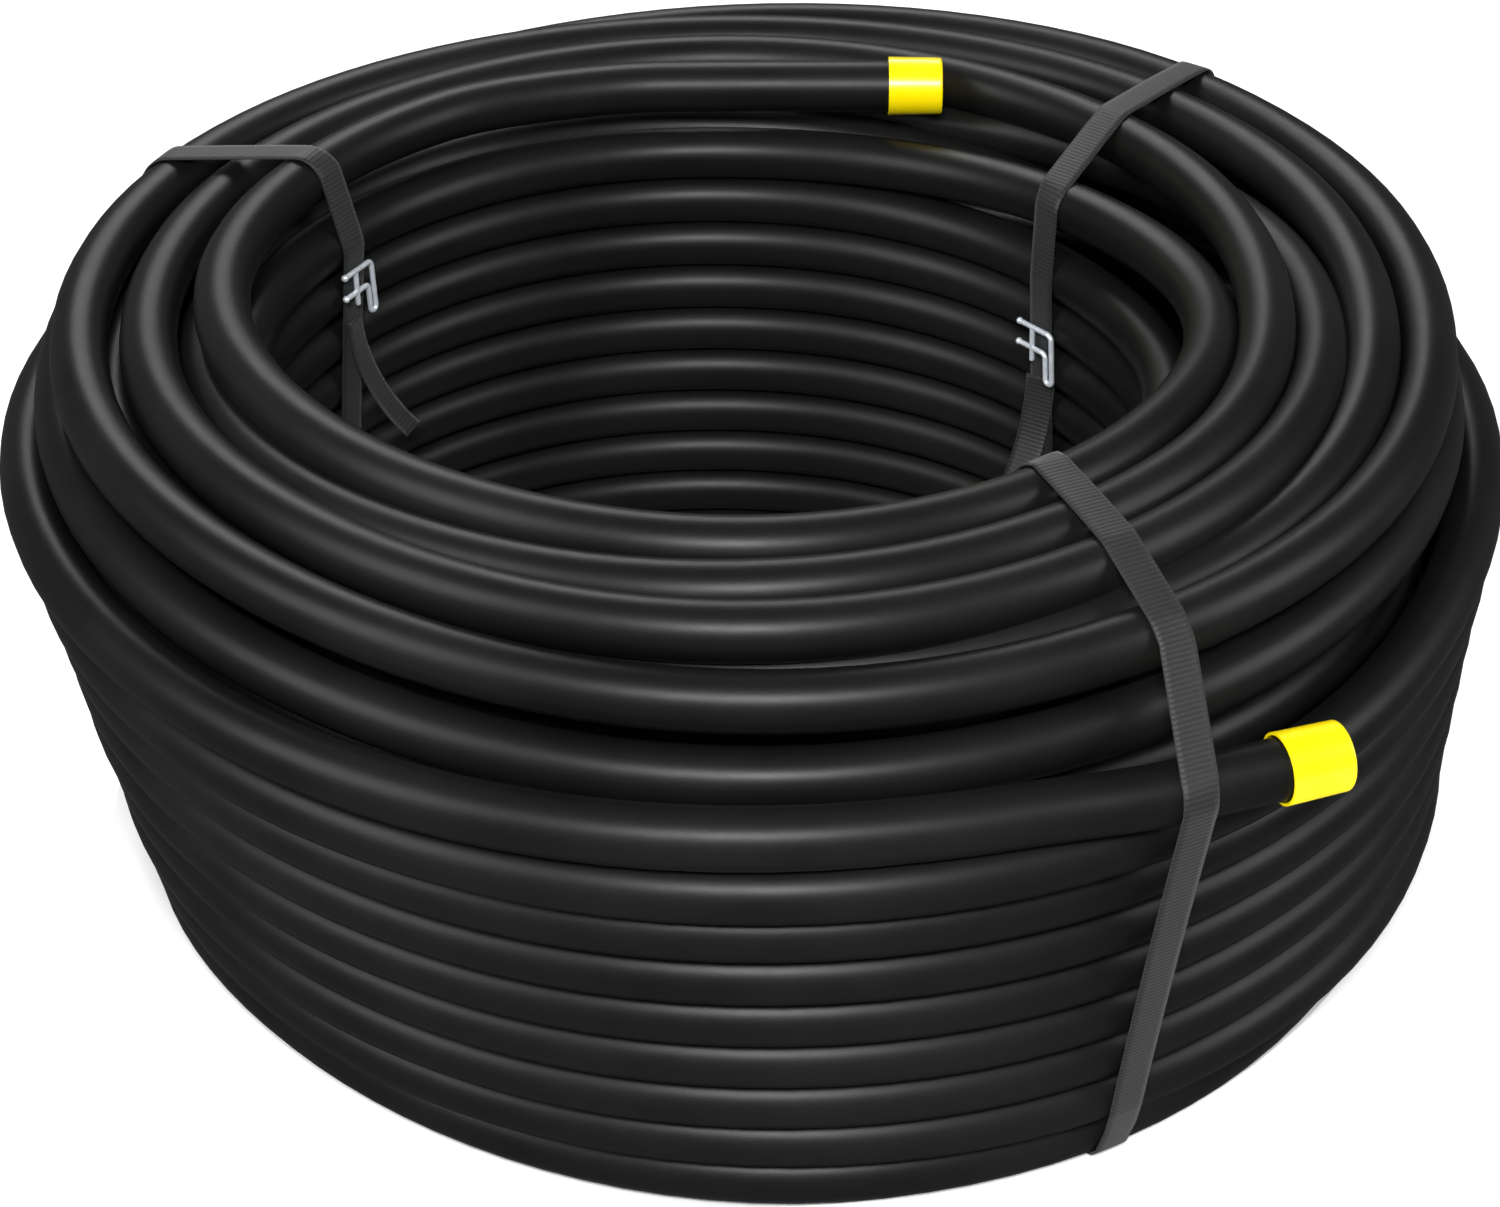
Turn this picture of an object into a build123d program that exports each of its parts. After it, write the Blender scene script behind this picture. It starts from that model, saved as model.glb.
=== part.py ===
from build123d import *
import math
import os

os.makedirs("parts", exist_ok=True)

# A hand-tied coil of polyethylene irrigation hose, lying flat.
# Origin: centre of the base, on the ground. +Z up. Millimetres.

# Hose
HOSE_OD = 25.0
HOSE_WALL = 1.8
HOSE_R = HOSE_OD / 2
HOSE_CLEAR = 0.1
PITCH = HOSE_OD

# Straps: woven band, drawn tight round the winding
STRAP_W = 16.0
STRAP_T = 0.9
STRAP_GAP = 0.7
BASE = STRAP_T + STRAP_GAP
STRAP_ANGLES = {"left": 152.7, "right": 39.0, "front": -59.0}

# Winding, as (radius, height of the hose's centre line above the lowest turn's underside)
INNER_SHIFT = -20.0
CROWN_SHIFT = -8.0
INNER_TURNS = 10
INNER_R_BOTTOM = 224.0
INNER_R_STEP = -2.0
CROWN_INNER = [(224.0, 270.0), (250.0, 263.0)]
OUTER_TURNS = 8
OUTER_R_BOTTOM = 300.0
OUTER_R_STEP = 4.5
OUTER_Z_STEP = 24.5
CROWN_OUTER = [(337.0, 208.0), (311.0, 214.0), (306.0, 243.0), (284.0, 264.0)]
FLOOR_INNER = [(241.0, HOSE_R)]
FLOOR_OUTER = [(271.0, HOSE_R)]
CORE_R = 262.0

# Inner end: it leaves the top turn and runs straight across the back of the hole
INNER_END_ANGLE = 115.0
INNER_GAP_ANGLE = 45.0
INNER_END_Z = 270.0
INNER_END_POINTS = [(-67.0, 210.8), (13.0, 213.0), (91.7, 213.0)]

# Outer end: it leaves the proud top turn at a tangent and springs outwards
OUTER_END_ANGLE = -80.0
OUTER_GAP_ANGLE = -26.0
OUTER_END_POINTS = [(133.9, -318.6, 205.5), (225.1, -286.3, 207.5)]

# End caps: thin push-on sleeves, closed at one end
CAP_LENGTH = 26.5
CAP_BORE_R = 12.75
CAP_R_CLOSED = 14.0
CAP_R_RIM = 14.4
CAP_END_WALL = 1.6
CAP_END_GAP = 0.8
CAP_EDGE = 1.4
CAP_TRAVEL = 30.0
TRENCH_R = 15.3

# Wire buckles
WIRE_R = 1.3
WIRE_TIP_R = 1.7
BUCKLE_Z = {"left": 219.0, "right": 178.0, "front": 190.0}
BUCKLE_GAP = 0.3
BUCKLE_FRAME = [(-12.5, 10.0), (9.6, 10.0), (11.6, -16.0), (7.2, -16.0), (6.0, -1.0), (-12.5, -1.0)]
BUCKLE_BENDS = [3.0, 2.0, 2.0, 2.5]
BUCKLE_PRONG = [(-3.6, 10.0), (-3.0, -7.0)]

# The front band also bears on the outer end where it leaves the winding
FRONT_EXTRA = (353.9, 206.3 + BASE)

# Free end of each strap below its buckle
TAIL_DROP = 17.0
TAIL_BEND_R = 74.0
TAIL_SWEEP = {"left": 50.0, "right": 44.0, "front": 47.0}


def polar(radius, degrees):
    angle = math.radians(degrees)
    return radius * math.cos(angle), radius * math.sin(angle)


def inner_turns():
    return [(INNER_R_BOTTOM + INNER_R_STEP * i, HOSE_R + PITCH * i) for i in range(INNER_TURNS)]


def outer_turns():
    rows = [(OUTER_R_BOTTOM + OUTER_R_STEP * i, HOSE_R + OUTER_Z_STEP * i) for i in range(OUTER_TURNS)]
    return rows + CROWN_OUTER


def scalloped_body(centres, extra, core, shift):
    """Body of revolution with one rounded rib for each turn that shows."""
    outline = centres + core
    face = make_face(Polyline(*[(r, z + BASE) for r, z in outline], close=True))
    for r, z in centres + extra:
        face = face + Pos(r, z + BASE) * Circle(HOSE_R)
    section = Plane.XZ * face
    return Pos(shift, 0, 0) * revolve(section, Axis.Z)


def ring_sector(r_in, r_out, z_low, z_high, start, end, shift):
    """Wedge of a ring with a rectangular section, for clearing one turn's place."""
    middle = Pos((r_in + r_out) / 2, (z_low + z_high) / 2) * Rectangle(r_out - r_in, z_high - z_low)
    swept = revolve(Plane.XZ * middle, Axis.Z, end - start)
    return Pos(shift, 0, 0) * Rot(0, 0, start) * swept


def convex_hull(points):
    """Outline of the centres that a tight band bears on, anticlockwise."""
    ordered = sorted(set(points))

    def half(sequence):
        chain = []
        for p in sequence:
            while len(chain) > 1:
                ax, ay = chain[-2]
                bx, by = chain[-1]
                if (bx - ax) * (p[1] - ay) - (by - ay) * (p[0] - ax) > 1e-6:
                    break
                chain.pop()
            chain.append(p)
        return chain[:-1]

    return half(ordered) + half(ordered[::-1])


def section_centres(degrees):
    """Turn centres in the radial plane at one angle round the coil."""
    angle = math.radians(degrees)
    centres = [(r, z + BASE) for r, z in outer_turns()]
    for shift, turns in ((INNER_SHIFT, inner_turns()), (CROWN_SHIFT, CROWN_INNER)):
        side = shift * math.sin(angle)
        centres += [(shift * math.cos(angle) + math.sqrt(r * r - side * side), z + BASE) for r, z in turns]
    if degrees == STRAP_ANGLES["front"]:
        centres.append(FRONT_EXTRA)
    return centres


def inner_run(degrees, height):
    """Point on the band's face towards the hole, and the band's direction upwards there."""
    hull = convex_hull(section_centres(degrees))
    low = min(hull, key=lambda p: p[0] + 0.15 * p[1])
    high = min(hull, key=lambda p: p[0] - 0.05 * p[1])
    up = Vector(high[0] - low[0], high[1] - low[1]).normalized()
    reach = HOSE_R + STRAP_GAP + STRAP_T
    foot = Vector(*low) + Vector(-up.Y, up.X) * reach
    return foot + up * ((height - foot.Y) / up.Y), up


def radial_plane(degrees):
    """Plane through the coil's axis: local X outwards, local Y up."""
    x, y = polar(1.0, degrees)
    return Plane(origin=(0, 0, 0), x_dir=(x, y, 0), z_dir=(y, -x, 0))


def strap(name):
    degrees = STRAP_ANGLES[name]
    hull = make_face(Polyline(*convex_hull(section_centres(degrees)), close=True))
    inside = offset(hull, HOSE_R + STRAP_GAP, kind=Kind.ARC)
    outside = offset(hull, HOSE_R + STRAP_GAP + STRAP_T, kind=Kind.ARC)
    band = extrude(radial_plane(degrees) * (outside - inside), STRAP_W / 2, both=True)
    start, up = inner_run(degrees, BUCKLE_Z[name] - TAIL_DROP)
    lean = math.degrees(math.atan2(-up.X, up.Y))
    towards_hole = Vector(-up.Y, up.X)
    centre = start + towards_hole * (TAIL_BEND_R - STRAP_T / 2)
    outer_arc = CenterArc((centre.X, centre.Y), TAIL_BEND_R, lean, -TAIL_SWEEP[name])
    inner_arc = CenterArc((centre.X, centre.Y), TAIL_BEND_R - STRAP_T, lean, -TAIL_SWEEP[name])
    ends = [Line(outer_arc @ 1, inner_arc @ 1), Line(inner_arc @ 0, outer_arc @ 0)]
    tail = extrude(radial_plane(degrees) * make_face([outer_arc, inner_arc] + ends), STRAP_W / 2, both=True)
    return band + tail


def wire(points, bends):
    path = FilletPolyline(*points, radius=bends) if bends else Line(*points)
    start = path @ 0
    profile = Plane(origin=start, z_dir=path % 0) * Circle(WIRE_R)
    return sweep(profile, path=path)


def buckle_plane(name):
    """Hanging plumb off its upper bar. Local X along the bars, local Y up, local Z towards the hole."""
    degrees = STRAP_ANGLES[name]
    height = BUCKLE_Z[name]
    x, y = polar(1.0, degrees)
    face, _ = inner_run(degrees, height + BUCKLE_FRAME[0][1] + WIRE_TIP_R)
    radius = face.X - BUCKLE_GAP - WIRE_TIP_R
    return Plane(origin=(x * radius, y * radius, height), x_dir=(y, -x, 0), z_dir=(-x, -y, 0))


def buckle(name):
    """Bent-wire buckle lying on the band's inner face, pivoting about its upper bar."""
    frame = wire(BUCKLE_FRAME, BUCKLE_BENDS)
    prong = wire(BUCKLE_PRONG, [])
    tips = [Pos(*BUCKLE_FRAME[0]) * Sphere(WIRE_TIP_R), Pos(*BUCKLE_FRAME[-1]) * Sphere(WIRE_TIP_R)]
    tips.append(Pos(*BUCKLE_PRONG[-1]) * Sphere(WIRE_R))
    body = frame + prong + tips
    return buckle_plane(name) * body


def along(path, start_dir, section):
    return sweep(Plane(origin=path @ 0, z_dir=start_dir) * section, path=path)


def hose_tube(path, start_dir):
    """The hose itself, hollow, along a stretch that has left the winding."""
    return along(path, start_dir, Circle(HOSE_R) - Circle(HOSE_R - HOSE_WALL))


def cap(end_point, direction):
    """Sleeve with a rounded closed end and a slightly opened rim."""
    rim = CAP_END_GAP + CAP_END_WALL - CAP_LENGTH
    tip = CAP_END_GAP + CAP_END_WALL
    outline = [(0, CAP_END_GAP), (CAP_BORE_R, CAP_END_GAP), (CAP_BORE_R, rim + 3), (CAP_BORE_R + 0.5, rim)]
    outline += [(CAP_R_RIM, rim), (CAP_R_RIM, rim + 0.8), (CAP_R_CLOSED, tip - CAP_EDGE)]
    shoulder = [Polyline(*outline)]
    rounding = ThreePointArc(
        (CAP_R_CLOSED, tip - CAP_EDGE),
        (CAP_R_CLOSED - CAP_EDGE * 0.293, tip - CAP_EDGE * 0.293),
        (CAP_R_CLOSED - CAP_EDGE, tip),
    )
    closing = Polyline((CAP_R_CLOSED - CAP_EDGE, tip), (0, tip), (0, CAP_END_GAP))
    solid = revolve(Plane.XZ * make_face(shoulder + [rounding, closing]), Axis.Z)
    return Plane(origin=end_point, z_dir=direction) * solid


# Paths of the two free ends
inner_start = Vector(CROWN_SHIFT, 0, INNER_END_Z + BASE)
inner_start = inner_start + Vector(*polar(CROWN_INNER[0][0], INNER_END_ANGLE), 0)
inner_points = [inner_start] + [Vector(x, y, INNER_END_Z + BASE) for x, y in INNER_END_POINTS]


def bend_radii(points):
    radii = []
    for before, here, after in zip(points, points[1:], points[2:]):
        turn = (here - before).get_angle(after - here)
        run = min((here - before).length, (after - here).length)
        radii.append(0.45 * run / math.tan(math.radians(turn / 2)))
    return radii


inner_radii = bend_radii(inner_points)
print("inner end bend radii, mm:", [round(r) for r in inner_radii])
inner_path = FilletPolyline(*inner_points, radius=inner_radii)
inner_dir = (inner_points[-1] - inner_points[-2]).normalized()
inner_tip = inner_points[-1]

outer_start = Vector(*polar(CROWN_OUTER[0][0], OUTER_END_ANGLE), CROWN_OUTER[0][1] + BASE)
outer_points = [outer_start] + [Vector(x, y, z + BASE) for x, y, z in OUTER_END_POINTS]
outer_radii = bend_radii(outer_points)
print("outer end bend radii, mm:", [round(r) for r in outer_radii])
outer_path = FilletPolyline(*outer_points, radius=outer_radii)
outer_dir = (outer_points[-1] - outer_points[-2]).normalized()
outer_tip = outer_points[-1]

# Winding: one closed body, with the places of the two ends cleared
inner_core = [(CORE_R + 8, 250.0), (CORE_R + 8, HOSE_R)]
crown_core = [(CORE_R + 8, 240.0), (CROWN_INNER[0][0] - 2, 235.0)]
outer_core = [(CORE_R - 16, 250.0), (CORE_R - 16, HOSE_R)]
coil = scalloped_body(inner_turns(), FLOOR_INNER, inner_core, INNER_SHIFT)
coil = coil + scalloped_body(CROWN_INNER, [], crown_core, CROWN_SHIFT)
coil = coil + scalloped_body(outer_turns(), FLOOR_OUTER, outer_core, 0.0)
inner_top = HOSE_R + PITCH * (INNER_TURNS - 1) + HOSE_R + BASE
coil = coil - ring_sector(180, 237.2, inner_top + 0.6, 300, INNER_GAP_ANGLE, INNER_END_ANGLE, CROWN_SHIFT)
outer_top = HOSE_R + OUTER_Z_STEP * (OUTER_TURNS - 1) + HOSE_R + BASE
coil = coil - ring_sector(323.8, 360, outer_top + 0.6, 240, OUTER_END_ANGLE, OUTER_GAP_ANGLE, 0.0)
for path, start_dir in ((inner_path, inner_path % 0), (outer_path, outer_path % 0)):
    coil = coil - along(path, start_dir, Circle(HOSE_R + HOSE_CLEAR))
for tip, direction in ((inner_tip, inner_dir), (outer_tip, outer_dir)):
    base = Plane(origin=tip - direction * (CAP_LENGTH + 2), z_dir=direction)
    trench = extrude(base * Circle(TRENCH_R), CAP_LENGTH + CAP_TRAVEL + 8)
    coil = coil - trench

nodes = {
    "hose_coil": coil,
    "hose_inner_end": hose_tube(inner_path, inner_path % 0),
    "hose_outer_end": hose_tube(outer_path, outer_path % 0),
    "inner_end_cap": cap(inner_tip, inner_dir),
    "outer_end_cap": cap(outer_tip, outer_dir),
}
for side in STRAP_ANGLES:
    nodes["strap_" + side] = strap(side)
    nodes["buckle_" + side] = buckle(side)

wall_area = math.pi * (HOSE_R**2 - (HOSE_R - HOSE_WALL) ** 2)
for name, path in (("hose_inner_end", inner_path), ("hose_outer_end", outer_path)):
    ratio = nodes[name].volume / (wall_area * path.length)
    print(name, "volume over section times length:", round(ratio, 4))
for side, degrees in STRAP_ANGLES.items():
    place = buckle_plane(side)
    pivot = place.from_local_coords(Vector(0, BUCKLE_FRAME[0][1], 0))
    print("buckle", side, "pivot:", tuple(round(v, 3) for v in pivot), "axis:", tuple(place.x_dir))
print("inner cap axis:", tuple(round(v, 5) for v in inner_dir), "tip:", tuple(round(v, 3) for v in inner_tip))
print("outer cap axis:", tuple(round(v, 5) for v in outer_dir), "tip:", tuple(round(v, 3) for v in outer_tip))

for name, shape in nodes.items():
    shape.label = name
    export_step(shape, "parts/" + name + ".step")
    print(name, "solids:", len(shape.solids()), "volume:", round(shape.volume))
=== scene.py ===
import bpy
import math
from bisect import bisect_right
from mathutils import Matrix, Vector


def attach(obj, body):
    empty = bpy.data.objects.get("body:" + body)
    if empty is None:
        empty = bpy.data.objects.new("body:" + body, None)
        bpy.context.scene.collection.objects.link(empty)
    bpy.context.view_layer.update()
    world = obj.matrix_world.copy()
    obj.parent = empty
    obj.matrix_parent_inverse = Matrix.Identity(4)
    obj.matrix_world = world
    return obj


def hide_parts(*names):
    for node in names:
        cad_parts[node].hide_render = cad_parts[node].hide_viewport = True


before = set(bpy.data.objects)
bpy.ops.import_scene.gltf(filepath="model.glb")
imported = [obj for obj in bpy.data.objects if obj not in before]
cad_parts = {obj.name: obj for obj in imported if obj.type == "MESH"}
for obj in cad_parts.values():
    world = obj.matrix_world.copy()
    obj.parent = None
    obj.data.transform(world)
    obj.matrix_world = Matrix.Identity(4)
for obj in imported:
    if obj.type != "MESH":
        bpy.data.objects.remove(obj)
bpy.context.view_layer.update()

MM = 0.001
HOSE_R = 12.5
HOSE_BORE = 10.7
BASE = 1.6  # the pile stands on the straps that pass under it
STEP = 10.0  # degrees between control points
scene = bpy.context.scene
scene.view_settings.view_transform = "Standard"


# ---------------------------------------------------------------- camera
CAMERA_PITCH = 31.1  # degrees below level
camera_data = bpy.data.cameras.new("camera")
camera_data.sensor_width = 36.0
camera_data.lens = 83.04
camera_data.shift_x = -0.016
camera_data.shift_y = -0.019
camera_data.clip_start = 0.05
camera_data.clip_end = 50.0
camera = bpy.data.objects.new("camera", camera_data)
camera.location = (0.011, -1.380, 0.9496)
camera.rotation_euler = (math.radians(90 - CAMERA_PITCH), 0, 0)
scene.collection.objects.link(camera)
scene.camera = camera


# ---------------------------------------------------------------- route of the hose, millimetres
# The turns are given as stations (azimuth, radius, height) in the order in which they are wound.
# The free ends are control points (x, y) or (x, y, height).
INNER_END = [(71.7, 213), (52, 213), (32, 213), (11, 213), (-29, 212.6), (-66, 211.2)]
INNER_END_Z = 270.0
FIRST_TURN = [
    (125, 231, 270), (150, 232, 270), (180, 232, 270), (210, 229, 270), (240, 230, 269),
    (270, 231, 267.5), (300, 222, 266), (330, 210, 263), (360, 203, 255), (398, 194, 247),
    (425, 199, 240), (450, 205, 237.5),
]

# Rows that make the wall of the hole, counted from the floor; the hole narrows upwards.
INNER_ROWS = 10
INNER_SHIFT = -20.0
INNER_RADIUS = 224.0
INNER_TAPER = 2.0

# Hidden turns inside the pile, each a circle whose centre is off the axis along X by its shift:
# those that go up as (shift, radius, height), and those that come down as (shift, radius, height
# at the start, height at the end). CLIMB and DROP are stations that join them to the bottom.
CLIMB = [(-40, 235, 14.5), (-15, 243, 24), (15, 247, 45)]
CORE_UP = [(-20, 243, 76), (-10, 262, 103)]
CORE_DOWN = [(8, 283, 170, 155), (8, 274, 146, 130)]
DROP = [(-15, 273, 35), (15, 283, 14)]

CROWN_TURNS = 6
CROWN = [
    (60, 240, 225), (90, 238, 236), (135, 243, 240), (180, 241, 244), (200, 240, 250),
    (225, 247, 256), (270, 253, 261), (315, 242, 264), (360, 227, 265), (405, 243, 264),
    (450, 266, 262), (495, 268, 262), (540, 263, 262), (585, 270, 262), (630, 281, 260),
    (675, 265, 260), (720, 249, 258), (765, 250, 246), (810, 262, 237), (855, 274, 238),
    (900, 280, 239), (945, 280, 239), (990, 279, 239), (1035, 282, 248), (1080, 273, 261),
    (1125, 284, 263), (1170, 293, 262), (1215, 297, 262), (1260, 293, 262), (1305, 298, 254),
    (1350, 303, 243), (1395, 304, 249), (1440, 299, 256), (1462, 306, 259), (1495, 315, 262),
    (1530, 316, 259), (1575, 312, 248), (1620, 303, 238), (1665, 306, 224), (1710, 311, 214),
    (1755, 309, 220), (1800, 303, 232), (1845, 305, 232), (1890, 290, 230), (1935, 290, 220),
    (1980, 292, 205),
]
# The bottom row lies on the floor, so its stations are (azimuth, radius).
BOTTOM_TURN = [
    (45, 293), (80, 299), (120, 288), (150, 277), (180, 272), (200, 274), (226, 277.5), (241, 284),
    (250, 289), (260, 294.5), (270, 299.5), (290, 302.5), (301, 302), (311, 300), (321, 297),
]
# Rows on the outside of the pile as (radius, height, squeeze, lean).
OUTER_ROWS = [
    (305.5, 36.8, 13, 19), (311, 61.1, 15.9, 14.9), (315.8, 85.6, 17.9, 13.4),
    (320.8, 110, 18.9, 10.9), (326.2, 134.2, 21.4, 9.4), (331.4, 158.6, 23.6, 7.4),
    (339.5, 182.2, 26.3, 7.1),
]
OUTER_SKEW = 3.5
LAST_TURN = [
    (-20, 325, 196), (0, 323, 205), (20, 320, 208), (45, 322, 208), (90, 328, 208),
    (135, 325, 209), (180, 320, 210), (205, 322, 209.5), (225, 328, 208.5), (240, 334.5, 208),
    (255, 339, 207.5), (270, 340, 207), (283, 338, 206),
]
OUTER_END = [
    (114.8, -319.6, 205.5), (150, -312.2, 205.8), (176, -303.68, 206.42),
    (190.5, -298.55, 206.74), (206.25, -292.98, 207.09),
]


# Azimuths of the stations on each kind of turn. From the last one of a turn to the first one of
# the next turn the hose crosses over.
WALL_AZIMUTHS = range(30, 291, 30)
WALL_TOP_AZIMUTHS = range(100, 291, 20)
UP_AZIMUTHS = range(60, 271, 30)
DOWN_AZIMUTHS = range(60, 301, 30)
OUTER_AZIMUTHS = range(40, 316, 25)


def about(shift, radius, azimuth):
    """Distance from the axis of a point on a circle whose centre is off the axis along X."""
    angle = math.radians(azimuth)
    return shift * math.cos(angle) + math.sqrt(radius**2 - (shift * math.sin(angle)) ** 2)


def oval(radius, squeeze, lean, azimuth):
    """Distance from the axis of one outer row: a little oval, and off the axis along X."""
    c = math.cos(math.radians(azimuth))
    return radius - squeeze * c**2 + lean * c - OUTER_SKEW * c * abs(c) ** 3


def on_turn(turn, stations):
    """The stations with azimuths that run on past 360 from turn to turn."""
    return [(360 * turn + azimuth, radius, height) for azimuth, radius, height in stations]


def winding():
    """Stations of all the turns, from the first on the pile to the last round its outside."""
    stations = list(FIRST_TURN)
    turn = 1
    for row in reversed(range(INNER_ROWS)):
        radius = INNER_RADIUS - INNER_TAPER * row
        height = HOSE_R + 2 * HOSE_R * row
        azimuths = WALL_TOP_AZIMUTHS if row == INNER_ROWS - 1 else WALL_AZIMUTHS
        stations += on_turn(turn, [(a, about(INNER_SHIFT, radius, a), height) for a in azimuths])
        turn += 1
    stations += on_turn(turn, CLIMB)
    for shift, radius, height in CORE_UP:
        stations += on_turn(turn, [(a, about(shift, radius, a), height) for a in UP_AZIMUTHS])
        turn += 1
    stations += on_turn(turn, CROWN)
    turn += CROWN_TURNS
    first, last = DOWN_AZIMUTHS[0], DOWN_AZIMUTHS[-1]
    for shift, radius, high, low in CORE_DOWN:
        for azimuth in DOWN_AZIMUTHS:
            height = high + (low - high) * (azimuth - first) / (last - first)
            stations += on_turn(turn, [(azimuth, about(shift, radius, azimuth), height)])
        turn += 1
    stations += on_turn(turn, DROP)
    stations += on_turn(turn, [(azimuth, radius, HOSE_R) for azimuth, radius in BOTTOM_TURN])
    turn += 1
    for radius, height, squeeze, lean in OUTER_ROWS:
        places = [(a, oval(radius, squeeze, lean, a), height) for a in OUTER_AZIMUTHS]
        stations += on_turn(turn, places)
        turn += 1
    return stations + on_turn(turn, LAST_TURN)


def slope(stations, i, c):
    """Change of value c of the stations for each degree at station i."""
    before = stations[max(i - 1, 0)]
    here = stations[i]
    after = stations[min(i + 1, len(stations) - 1)]
    if here is before:
        return (after[c] - here[c]) / (after[0] - here[0])
    if here is after:
        return (here[c] - before[c]) / (here[0] - before[0])
    left, right = here[0] - before[0], after[0] - here[0]
    weighted = (here[c] - before[c]) / left * right + (after[c] - here[c]) / right * left
    return weighted / (left + right)


def smooth_between(stations, keys, azimuth):
    """Radius and height at an azimuth, on a smooth curve through the stations."""
    i = min(max(bisect_right(keys, azimuth) - 1, 0), len(stations) - 2)
    span = keys[i + 1] - keys[i]
    t = (azimuth - keys[i]) / span
    values = []
    for c in (1, 2):
        start, end = stations[i][c], stations[i + 1][c]
        out, into = slope(stations, i, c) * span, slope(stations, i + 1, c) * span
        values.append((2 * t**3 - 3 * t**2 + 1) * start + (t**3 - 2 * t**2 + t) * out
                      + (3 * t**2 - 2 * t**3) * end + (t**3 - t**2) * into)
    return values


def hose_route():
    """Control points of the whole hose from its inner end to its outer end."""
    points = [Vector((x, y, INNER_END_Z + BASE)) for x, y in INNER_END]
    stations = winding()
    keys = [s[0] for s in stations]
    count = round((keys[-1] - keys[0]) / STEP)
    grow = 1 / math.cos(math.radians(STEP / 2))  # the curve runs inside its control points
    for k in range(count + 1):
        azimuth = keys[0] + (keys[-1] - keys[0]) * k / count
        radius, height = smooth_between(stations, keys, azimuth)
        angle = math.radians(azimuth)
        x, y = radius * grow * math.cos(angle), radius * grow * math.sin(angle)
        points.append(Vector((x, y, height + BASE)))
    return points + [Vector((x, y, z + BASE)) for x, y, z in OUTER_END]


route = hose_route()

hose_data = bpy.data.curves.new("hose", "CURVE")
hose_data.dimensions = "3D"
hose_data.resolution_u = 3
hose_data.use_fill_caps = False
hose_data.twist_mode = "Z_UP"
spline = hose_data.splines.new("NURBS")
spline.points.add(len(route) - 1)
for point, place in zip(spline.points, route):
    point.co = (*(place * MM), 1)
spline.order_u = 3
spline.use_endpoint_u = True
hose = bpy.data.objects.new("hose", hose_data)
scene.collection.objects.link(hose)

centre_line = bpy.data.meshes.new_from_object(hose)
line = [vertex.co / MM for vertex in centre_line.vertices]
bpy.data.meshes.remove(centre_line)
hose_data.bevel_depth = HOSE_R * MM
hose_data.bevel_resolution = 6


# ---------------------------------------------------------------- helpers for meshes
def mesh_object(name, vertices, faces, uvs=None):
    """Smooth mesh object from vertices in millimetres."""
    mesh = bpy.data.meshes.new(name)
    mesh.from_pydata([tuple(v * MM) for v in vertices], [], faces)
    if uvs:
        layer = mesh.uv_layers.new(name="UVMap")
        for loop in mesh.loops:
            layer.data[loop.index].uv = uvs[loop.vertex_index]
    for polygon in mesh.polygons:
        polygon.use_smooth = True
    mesh.validate()
    made = bpy.data.objects.new(name, mesh)
    scene.collection.objects.link(made)
    return made


def tube_faces(rings, sides):
    """Faces between neighbouring rings of vertices."""
    faces = []
    for ring in range(rings - 1):
        for k in range(sides):
            n = (k + 1) % sides
            here, ahead = ring * sides, (ring + 1) * sides
            faces.append((here + k, here + n, ahead + n, ahead + k))
    return faces


def lathe(name, origin, axis, outline, sides=64):
    """Body of revolution. outline is a list of (distance along the axis, radius)."""
    across = axis.orthogonal().normalized()
    other = axis.cross(across)
    vertices = []
    for along, radius in outline:
        for k in range(sides):
            turn = 2 * math.pi * k / sides
            outward = across * math.cos(turn) + other * math.sin(turn)
            vertices.append(origin + axis * along + outward * radius)
    return mesh_object(name, vertices, tube_faces(len(outline), sides))


# ---------------------------------------------------------------- open ends of the hose
INNER_TIP = Vector((91.7, 213, 270 + BASE))
INNER_DIR = Vector((1, 0, 0))
OUTER_TIP = Vector((225.1, -286.3, 207.5 + BASE))
OUTER_DIR = Vector((0.94243, 0.33378, 0.02067))
MOUTH_DEPTH = 20.3
MOUTH_EDGE = 0.25


def mouth(name, tip, direction):
    """End of the hose with its cut edge and its bore, closed by a bottom out of sight."""
    edge = MOUTH_EDGE
    outline = [
        (-MOUTH_DEPTH, HOSE_R), (-edge - 1, HOSE_R), (-edge, HOSE_R),
        (-edge * 0.3, HOSE_R - edge * 0.3), (0, HOSE_R - edge), (0, HOSE_BORE + edge),
        (-edge, HOSE_BORE), (-edge - 1, HOSE_BORE), (-MOUTH_DEPTH, HOSE_BORE), (-MOUTH_DEPTH, 0.01),
    ]
    return lathe(name, tip, direction, outline)


mouth_inner = mouth("hose_mouth_inner", INNER_TIP, INNER_DIR)
mouth_outer = mouth("hose_mouth_outer", OUTER_TIP, OUTER_DIR)


# ---------------------------------------------------------------- woven straps
# Section of the woven band as (across, up) from the middle of its underside.
STRAP_SECTION = [
    (-8.0, 0.1), (-7.7, 0.78), (-5, 0.9), (0, 0.93), (5, 0.9), (7.7, 0.78), (8.0, 0.1),
    (7.7, 0.02), (0, 0.0), (-7.7, 0.02),
]
STRAP_GAP = 0.9  # clear space between the hose and the underside of the band
# Line of each strap seen from above, from the hole outwards.
STRAP_PLANS = {
    "left": [(-184.9, 95.4), (-224.5, 107.0), (-279.7, 120.8), (-318, 132)],
    "right": [(138.2, 111.9), (166.1, 152.5), (219.4, 225.6), (240, 254)],
    "front": [(93.7, -155.9), (119, -182), (163.3, -274.3), (172, -329)],
}
PLAN_REACH = 80  # how far past its two ends a line still meets the hose
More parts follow.
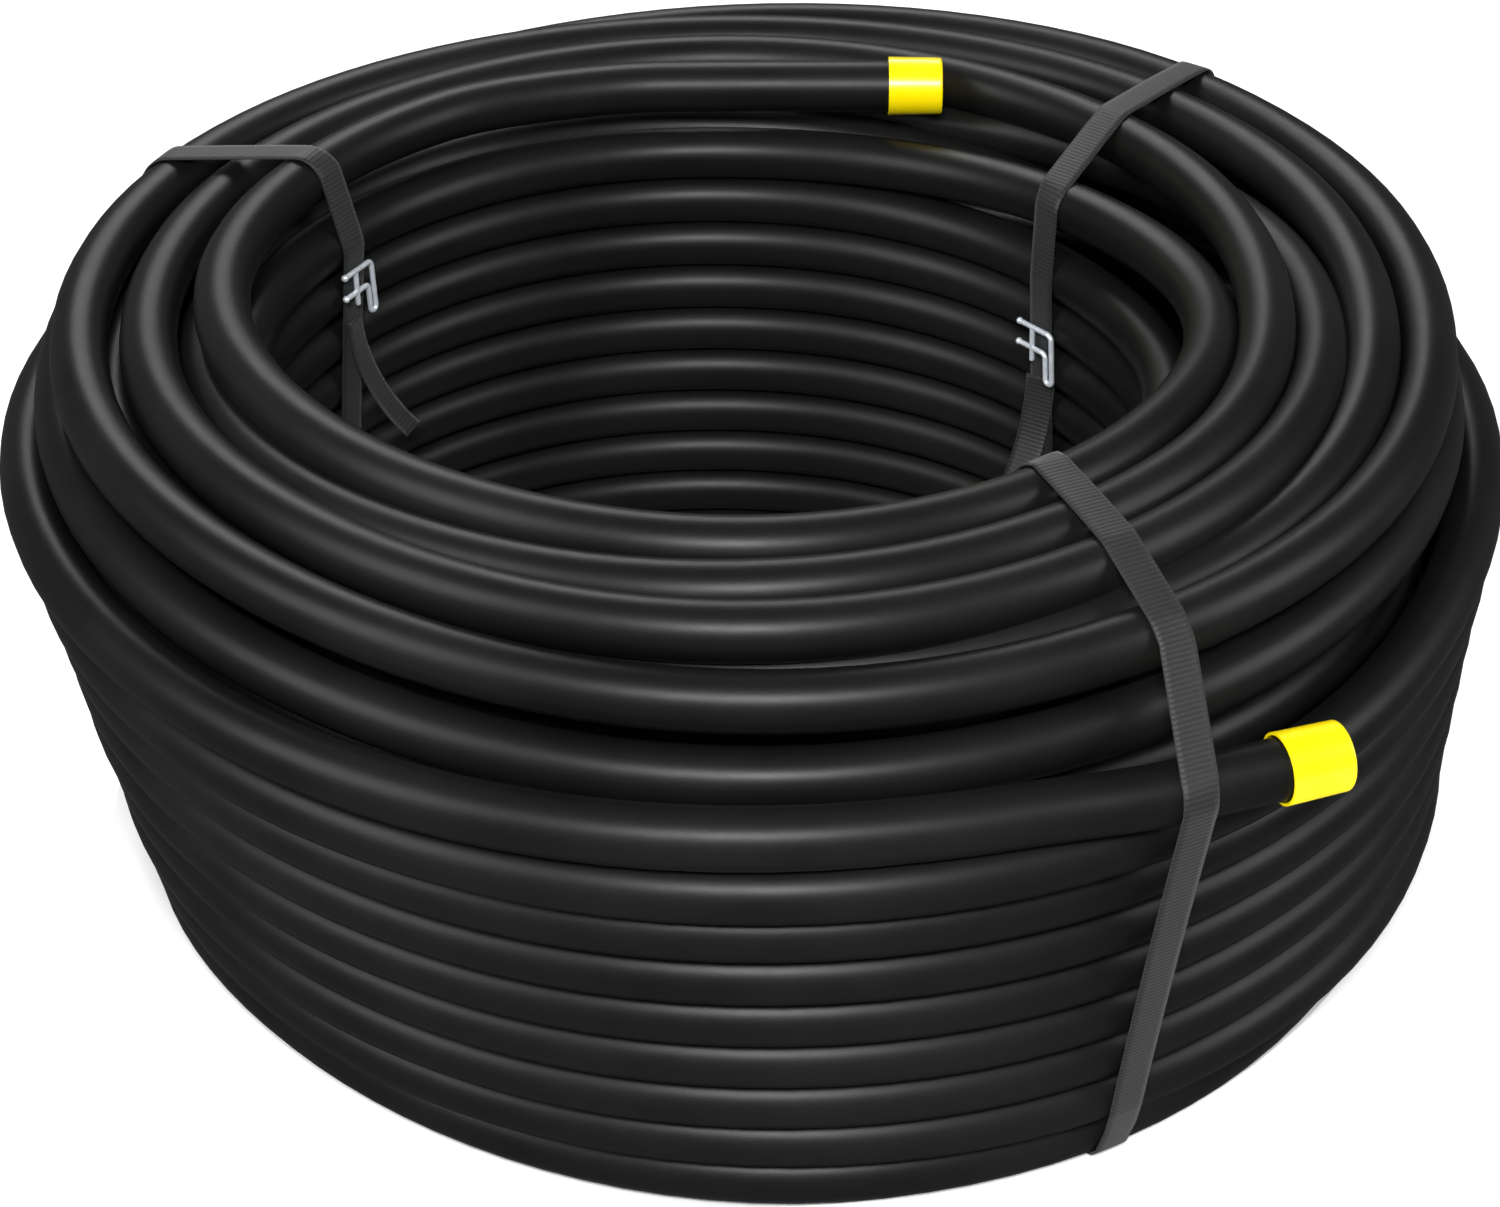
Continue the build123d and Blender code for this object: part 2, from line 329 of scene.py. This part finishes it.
# Sideways drift of the outer run for each millimetre below SLANT_TOP.
SLANT = {"left": 0.0, "right": 0.0, "front": 0.085}
SLANT_TOP = 207.0
TWIST = 1.2  # how soon the band turns from its line to lie flat on an upright wall
CORNER_STEP = 8  # degrees between points where the band bends round the hose
BUCKLE_Z = {"left": 219.0, "right": 178.0, "front": 190.0}
# The free end leaves the band TAIL_DROP below the buckle and bends into the hole on an arc of
# radius TAIL_R, through TAIL_ARC degrees.
TAIL_ARC = {"left": 50.0, "right": 44.0, "front": 47.0}
TAIL_R = 74.0
TAIL_DROP = 17.0
TAIL_GAP = 1.0
TAIL_PARTS = 24


def plan_place(plan, s):
    """Point and heading of a strap's line seen from above, at distance s from its first point."""
    for a, b in zip(plan, plan[1:]):
        span = (b - a).length
        if s <= span or b is plan[-1]:
            heading = (b - a) / span
            return a + heading * s, heading
        s -= span


def plan_crossings(plan):
    """Where the hose passes through the upright sheet that stands on a strap's line.

    Each crossing is (distance along the line, height).
    """
    found = []
    start = 0.0
    for n, (a, b) in enumerate(zip(plan, plan[1:])):
        span = (b - a).length
        heading = (b - a) / span
        normal = Vector((-heading.y, heading.x))
        low = -PLAN_REACH if n == 0 else 0
        high = span + PLAN_REACH if b is plan[-1] else span
        offsets = [Vector((p.x, p.y)) - a for p in line]
        for i in range(len(line) - 1):
            d0, d1 = offsets[i].dot(normal), offsets[i + 1].dot(normal)
            if (d0 < 0) == (d1 < 0):
                continue
            t = d0 / (d0 - d1)
            s = offsets[i].lerp(offsets[i + 1], t).dot(heading)
            if low <= s < high:
                found.append((start + s, line[i].z + (line[i + 1].z - line[i].z) * t))
        start += span
    return found


def convex_hull(points):
    """Corners of the convex hull, counter-clockwise."""
    ordered = sorted(set(points))

    def half(sequence):
        chain = []
        for p in sequence:
            while len(chain) > 1:
                ax, ay = chain[-2]
                bx, by = chain[-1]
                if (bx - ax) * (p[1] - ay) - (by - ay) * (p[0] - ax) > 1e-6:
                    break
                chain.pop()
            chain.append(p)
        return chain[:-1]

    return half(ordered) + half(ordered[::-1])


def tight_loop(centres, reach):
    """Closed line at a set distance round the hull of the crossings, with its outward normals."""
    hull = [Vector(p) for p in convex_hull(centres)]
    count = len(hull)
    loop = []
    for i in range(count):
        before = (hull[i] - hull[i - 1]).normalized()
        after = (hull[(i + 1) % count] - hull[i]).normalized()
        first = math.atan2(-before.x, before.y)
        turn = -before.angle_signed(after)
        steps = max(1, math.ceil(abs(math.degrees(turn)) / CORNER_STEP))
        for k in range(steps + 1):
            angle = first + turn * k / steps
            normal = Vector((math.cos(angle), math.sin(angle)))
            loop.append((hull[i] + normal * reach, normal))
    return loop


def refine(path, longest=4.0):
    """Adds points on the straight runs, so that the band can twist and its texture runs evenly."""
    fine = [path[0]]
    for a, b in zip(path, path[1:]):
        parts = max(1, math.ceil((b[0] - a[0]).length / longest))
        for k in range(1, parts + 1):
            t = k / parts
            fine.append((a[0].lerp(b[0], t), a[1].lerp(b[1], t).normalized()))
    return fine


def band(name, path, closed):
    """path is a list of (point, outward normal, sideways) in 3-D."""
    count = len(STRAP_SECTION)
    vertices, uvs = [], []
    run = 0.0
    for i, (point, normal, side) in enumerate(path):
        if i:
            run += (point - path[i - 1][0]).length
        for across, up in STRAP_SECTION:
            vertices.append(point + side * across + normal * up)
            uvs.append((run * MM, across * MM))
    faces = tube_faces(len(path), count)
    if not closed:
        faces.append(tuple(range(count)))
        faces.append(tuple((len(path) - 1) * count + k for k in reversed(range(count))))
    return mesh_object(name, vertices, faces, uvs)


def strap_path(name, plan, loop):
    """The closed run of a strap, lying flat on the wall of the hole and on the outside."""
    widest = max(place.x for place, _ in loop)
    path = []
    for place, normal in loop:
        at, heading = plan_place(plan, place.x)
        wall = Vector((at.x - (INNER_SHIFT if normal.x < 0 else 0), at.y)).normalized()
        heading = heading.lerp(wall, min(1, TWIST * abs(normal.x))).normalized()
        drift = SLANT[name] * max(0, SLANT_TOP - place.y) * max(0, place.x) / widest
        point = Vector((at.x + heading.y * drift, at.y - heading.x * drift, place.y))
        out = Vector((heading.x * normal.x, heading.y * normal.x, normal.y))
        path.append((point, out, Vector((-heading.y, heading.x, 0))))
    return path


def tail_path(name, plan, loop):
    """The free end of a strap, which curls into the hole from below the buckle."""
    hole_side = [(place, normal) for place, normal in loop if normal.x < -0.9]
    height = BUCKLE_Z[name] - TAIL_DROP
    start, normal = min(hole_side, key=lambda item: abs(item[0].y - height))
    lean = math.atan2(normal.y, -normal.x)
    path = []
    for k in range(TAIL_PARTS + 1):
        angle = lean + math.radians(TAIL_ARC[name]) * k / TAIL_PARTS
        s = start.x - TAIL_GAP - TAIL_R * (1 - math.cos(angle - lean))
        z = start.y - TAIL_R * math.sin(angle - lean)
        at, heading = plan_place(plan, s)
        flat = math.cos(angle)
        out = Vector((-heading.x * flat, -heading.y * flat, math.sin(angle)))
        path.append((Vector((at.x, at.y, z)), out, Vector((-heading.y, heading.x, 0))))
    return path


def strap(name):
    plan = [Vector(p) for p in STRAP_PLANS[name]]
    loop = tight_loop(plan_crossings(plan), HOSE_R + STRAP_GAP)
    loop = refine(loop + [loop[0]])
    made = band("strap_%s_band" % name, strap_path(name, plan, loop), True)
    free = band("strap_%s_tail" % name, tail_path(name, plan, loop), False)
    for piece in (made, free):
        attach(piece, "coil")
    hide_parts("strap_" + name)
    return made, free


straps = {name: strap(name) for name in STRAP_PLANS}


# ---------------------------------------------------------------- materials
class Nodes:
    """Small helper for writing a node material."""

    def __init__(self, name):
        self.material = bpy.data.materials.new(name)
        self.material.use_nodes = True
        self.tree = self.material.node_tree
        self.bsdf = self.tree.nodes["Principled BSDF"]
        self.coords = self.node("ShaderNodeTexCoord")

    def node(self, kind, **settings):
        """A new node; each setting is a property of the node or else one of its inputs."""
        made = self.tree.nodes.new(kind)
        for key, value in settings.items():
            if hasattr(made, key):
                setattr(made, key, value)
            else:
                made.inputs[key.replace("_", " ")].default_value = value
        return made

    def link(self, a, b):
        self.tree.links.new(a, b)

    def feed(self, socket, value):
        self.link(value, self.bsdf.inputs[socket])

    def set(self, socket, value):
        self.bsdf.inputs[socket].default_value = value

    def noise(self, vector, scale, detail, roughness=0.55):
        made = self.node("ShaderNodeTexNoise", Scale=scale, Detail=detail, Roughness=roughness)
        self.link(vector, made.inputs["Vector"])
        return made.outputs["Fac"]

    def bands(self, direction, scale, distortion):
        made = self.node("ShaderNodeTexWave", wave_type="BANDS", bands_direction=direction,
                         Scale=scale, Distortion=distortion)
        self.link(self.coords.outputs["UV"], made.inputs["Vector"])
        return made.outputs["Fac"]

    def ramp(self, value, first, last):
        """Colour between two stops, each (place, colour)."""
        made = self.node("ShaderNodeValToRGB")
        for element, (place, colour) in zip(made.color_ramp.elements, (first, last)):
            element.position = place
            element.color = (*colour, 1)
        self.link(value, made.inputs["Fac"])
        return made.outputs["Color"]

    def span(self, value, low, high):
        made = self.node("ShaderNodeMapRange", To_Min=low, To_Max=high)
        self.link(value, made.inputs["Value"])
        return made.outputs["Result"]

    def math(self, operation, a, b):
        made = self.node("ShaderNodeMath", operation=operation)
        for socket, value in zip(made.inputs, (a, b)):
            if isinstance(value, (int, float)):
                socket.default_value = value
            else:
                self.link(value, socket)
        return made.outputs["Value"]

    def blend(self, first, weight, other, other_weight):
        """Sum of two values, each with its weight."""
        return self.math("ADD", self.math("MULTIPLY", first, weight),
                         self.math("MULTIPLY", other, other_weight))

    def bump(self, height, distance, strength):
        made = self.node("ShaderNodeBump", Distance=distance, Strength=strength)
        self.link(height, made.inputs["Height"])
        self.feed("Normal", made.outputs["Normal"])


def hose_material():
    m = Nodes("black_polyethylene")
    place = m.coords.outputs["Object"]
    cloud = m.noise(place, scale=9.0, detail=3.0)
    scuff = m.noise(place, scale=70.0, detail=6.0, roughness=0.7)
    fine = m.noise(place, scale=900.0, detail=2.0)
    dark, light = (0.004, 0.0042, 0.0041), (0.0075, 0.0078, 0.0076)
    m.feed("Base Color", m.ramp(cloud, (0.35, dark), (0.7, light)))
    m.feed("Roughness", m.math("ADD", m.span(cloud, 0.36, 0.44), m.span(scuff, -0.04, 0.05)))
    m.set("Specular IOR Level", 0.2)
    relief = m.math("ADD", m.math("MULTIPLY", fine, 0.15), cloud)
    m.bump(relief, distance=0.0006, strength=0.35)
    return m.material


def cap_material():
    m = Nodes("yellow_cap_plastic")
    place = m.coords.outputs["Object"]
    cloud = m.noise(place, scale=60.0, detail=3.0)
    dark, light = (0.92, 0.70, 0.0), (1.0, 0.80, 0.004)
    m.feed("Base Color", m.ramp(cloud, (0.3, dark), (0.75, light)))
    m.feed("Roughness", m.span(cloud, 0.22, 0.32))
    fine = m.noise(place, scale=1500.0, detail=2.0)
    m.bump(fine, distance=0.0001, strength=0.25)
    return m.material


def strap_material():
    m = Nodes("woven_strap")
    ribs = m.bands("X", scale=150.0, distortion=0.6)
    threads = m.bands("Y", scale=420.0, distortion=0.8)
    cloud = m.noise(m.coords.outputs["Object"], scale=35.0, detail=4.0)
    fuzz = m.noise(m.coords.outputs["UV"], scale=2500.0, detail=3.0)
    weave = m.blend(ribs, 0.75, threads, 0.3)
    weave = m.math("ADD", weave, m.math("MULTIPLY", fuzz, 0.2))
    dark, light = (0.005, 0.0053, 0.0057), (0.018, 0.0185, 0.0195)
    m.feed("Base Color", m.ramp(m.blend(weave, 0.6, cloud, 0.4), (0.2, dark), (0.8, light)))
    m.feed("Roughness", m.span(cloud, 0.42, 0.58))
    m.set("Specular IOR Level", 0.3)
    m.set("Sheen Weight", 0.1)
    m.bump(weave, distance=0.0002, strength=0.5)
    return m.material


def wire_material():
    m = Nodes("galvanised_wire")
    place = m.coords.outputs["Object"]
    cloud = m.noise(place, scale=250.0, detail=4.0)
    dark, light = (0.70, 0.76, 0.82), (0.88, 0.94, 1.0)
    m.feed("Base Color", m.ramp(cloud, (0.3, dark), (0.7, light)))
    m.set("Metallic", 0.55)
    m.feed("Roughness", m.span(cloud, 0.22, 0.4))
    fine = m.noise(place, scale=1800.0, detail=3.0)
    m.bump(fine, distance=0.00015, strength=0.4)
    return m.material


FLOOR_GLOW = 0.3
GLOW_FROM = 0.305  # metres from the axis


def floor_material():
    """Pale floor that glows a little, except under the pile, where gaps would show it."""
    m = Nodes("pale_floor")
    m.set("Base Color", (0.92, 0.92, 0.92, 1))
    m.set("Roughness", 0.8)
    m.set("Emission Color", (1, 1, 1, 1))
    distance = m.node("ShaderNodeVectorMath", operation="LENGTH")
    m.link(m.coords.outputs["Object"], distance.inputs[0])
    outside = m.math("GREATER_THAN", distance.outputs["Value"], GLOW_FROM)
    m.feed("Emission Strength", m.math("MULTIPLY", outside, FLOOR_GLOW))
    return m.material


black = hose_material()
yellow = cap_material()
webbing = strap_material()
wire = wire_material()

hose_data.materials.append(black)
for piece in (mouth_inner, mouth_outer):
    piece.data.materials.append(black)
    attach(piece, "coil")
for made, free in straps.values():
    made.data.materials.append(webbing)
    free.data.materials.append(webbing)
FINISHES = {
    "inner_end_cap": yellow, "outer_end_cap": yellow,
    "buckle_left": wire, "buckle_right": wire, "buckle_front": wire,
}
for node, finish in FINISHES.items():
    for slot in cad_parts[node].material_slots:
        slot.material = finish

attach(hose, "coil")
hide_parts("hose_coil", "hose_inner_end", "hose_outer_end")


# ---------------------------------------------------------------- floor and light, metres
FLOOR_SIZE = 12
# Each light is (name, location, target, size, power in watts).
LIGHTS = [
    ("key", (0.0, -1.9, 1.7), (0, -0.33, 0.12), (0.6, 0.35), 62),
    ("left", (-2.4, -1.3, 1.9), (0, 0, 0.1), (1.8, 1.8), 65),
    ("right", (2.5, -0.5, 1.5), (0, 0, 0.1), (1.1, 1.6), 34),
    ("back", (-0.4, 2.2, 2.0), (0, 0.1, 0.1), (1.6, 0.9), 30),
]

bpy.ops.mesh.primitive_plane_add(size=FLOOR_SIZE, location=(0, 0, 0))
floor = bpy.context.object
floor.name = "floor"
floor.visible_glossy = False
floor.data.materials.append(floor_material())

for name, location, target, size, power in LIGHTS:
    light = bpy.data.lights.new(name, "AREA")
    light.shape = "RECTANGLE"
    light.size, light.size_y = size
    light.energy = power
    lamp = bpy.data.objects.new(name, light)
    lamp.location = location
    aim = Vector(target) - Vector(location)
    lamp.rotation_euler = aim.to_track_quat("-Z", "Y").to_euler()
    scene.collection.objects.link(lamp)

world = bpy.data.worlds.new("world")
world.use_nodes = True
world.node_tree.nodes["Background"].inputs["Color"].default_value = (1, 1, 1, 1)
world.node_tree.nodes["Background"].inputs["Strength"].default_value = 0.12
scene.world = world
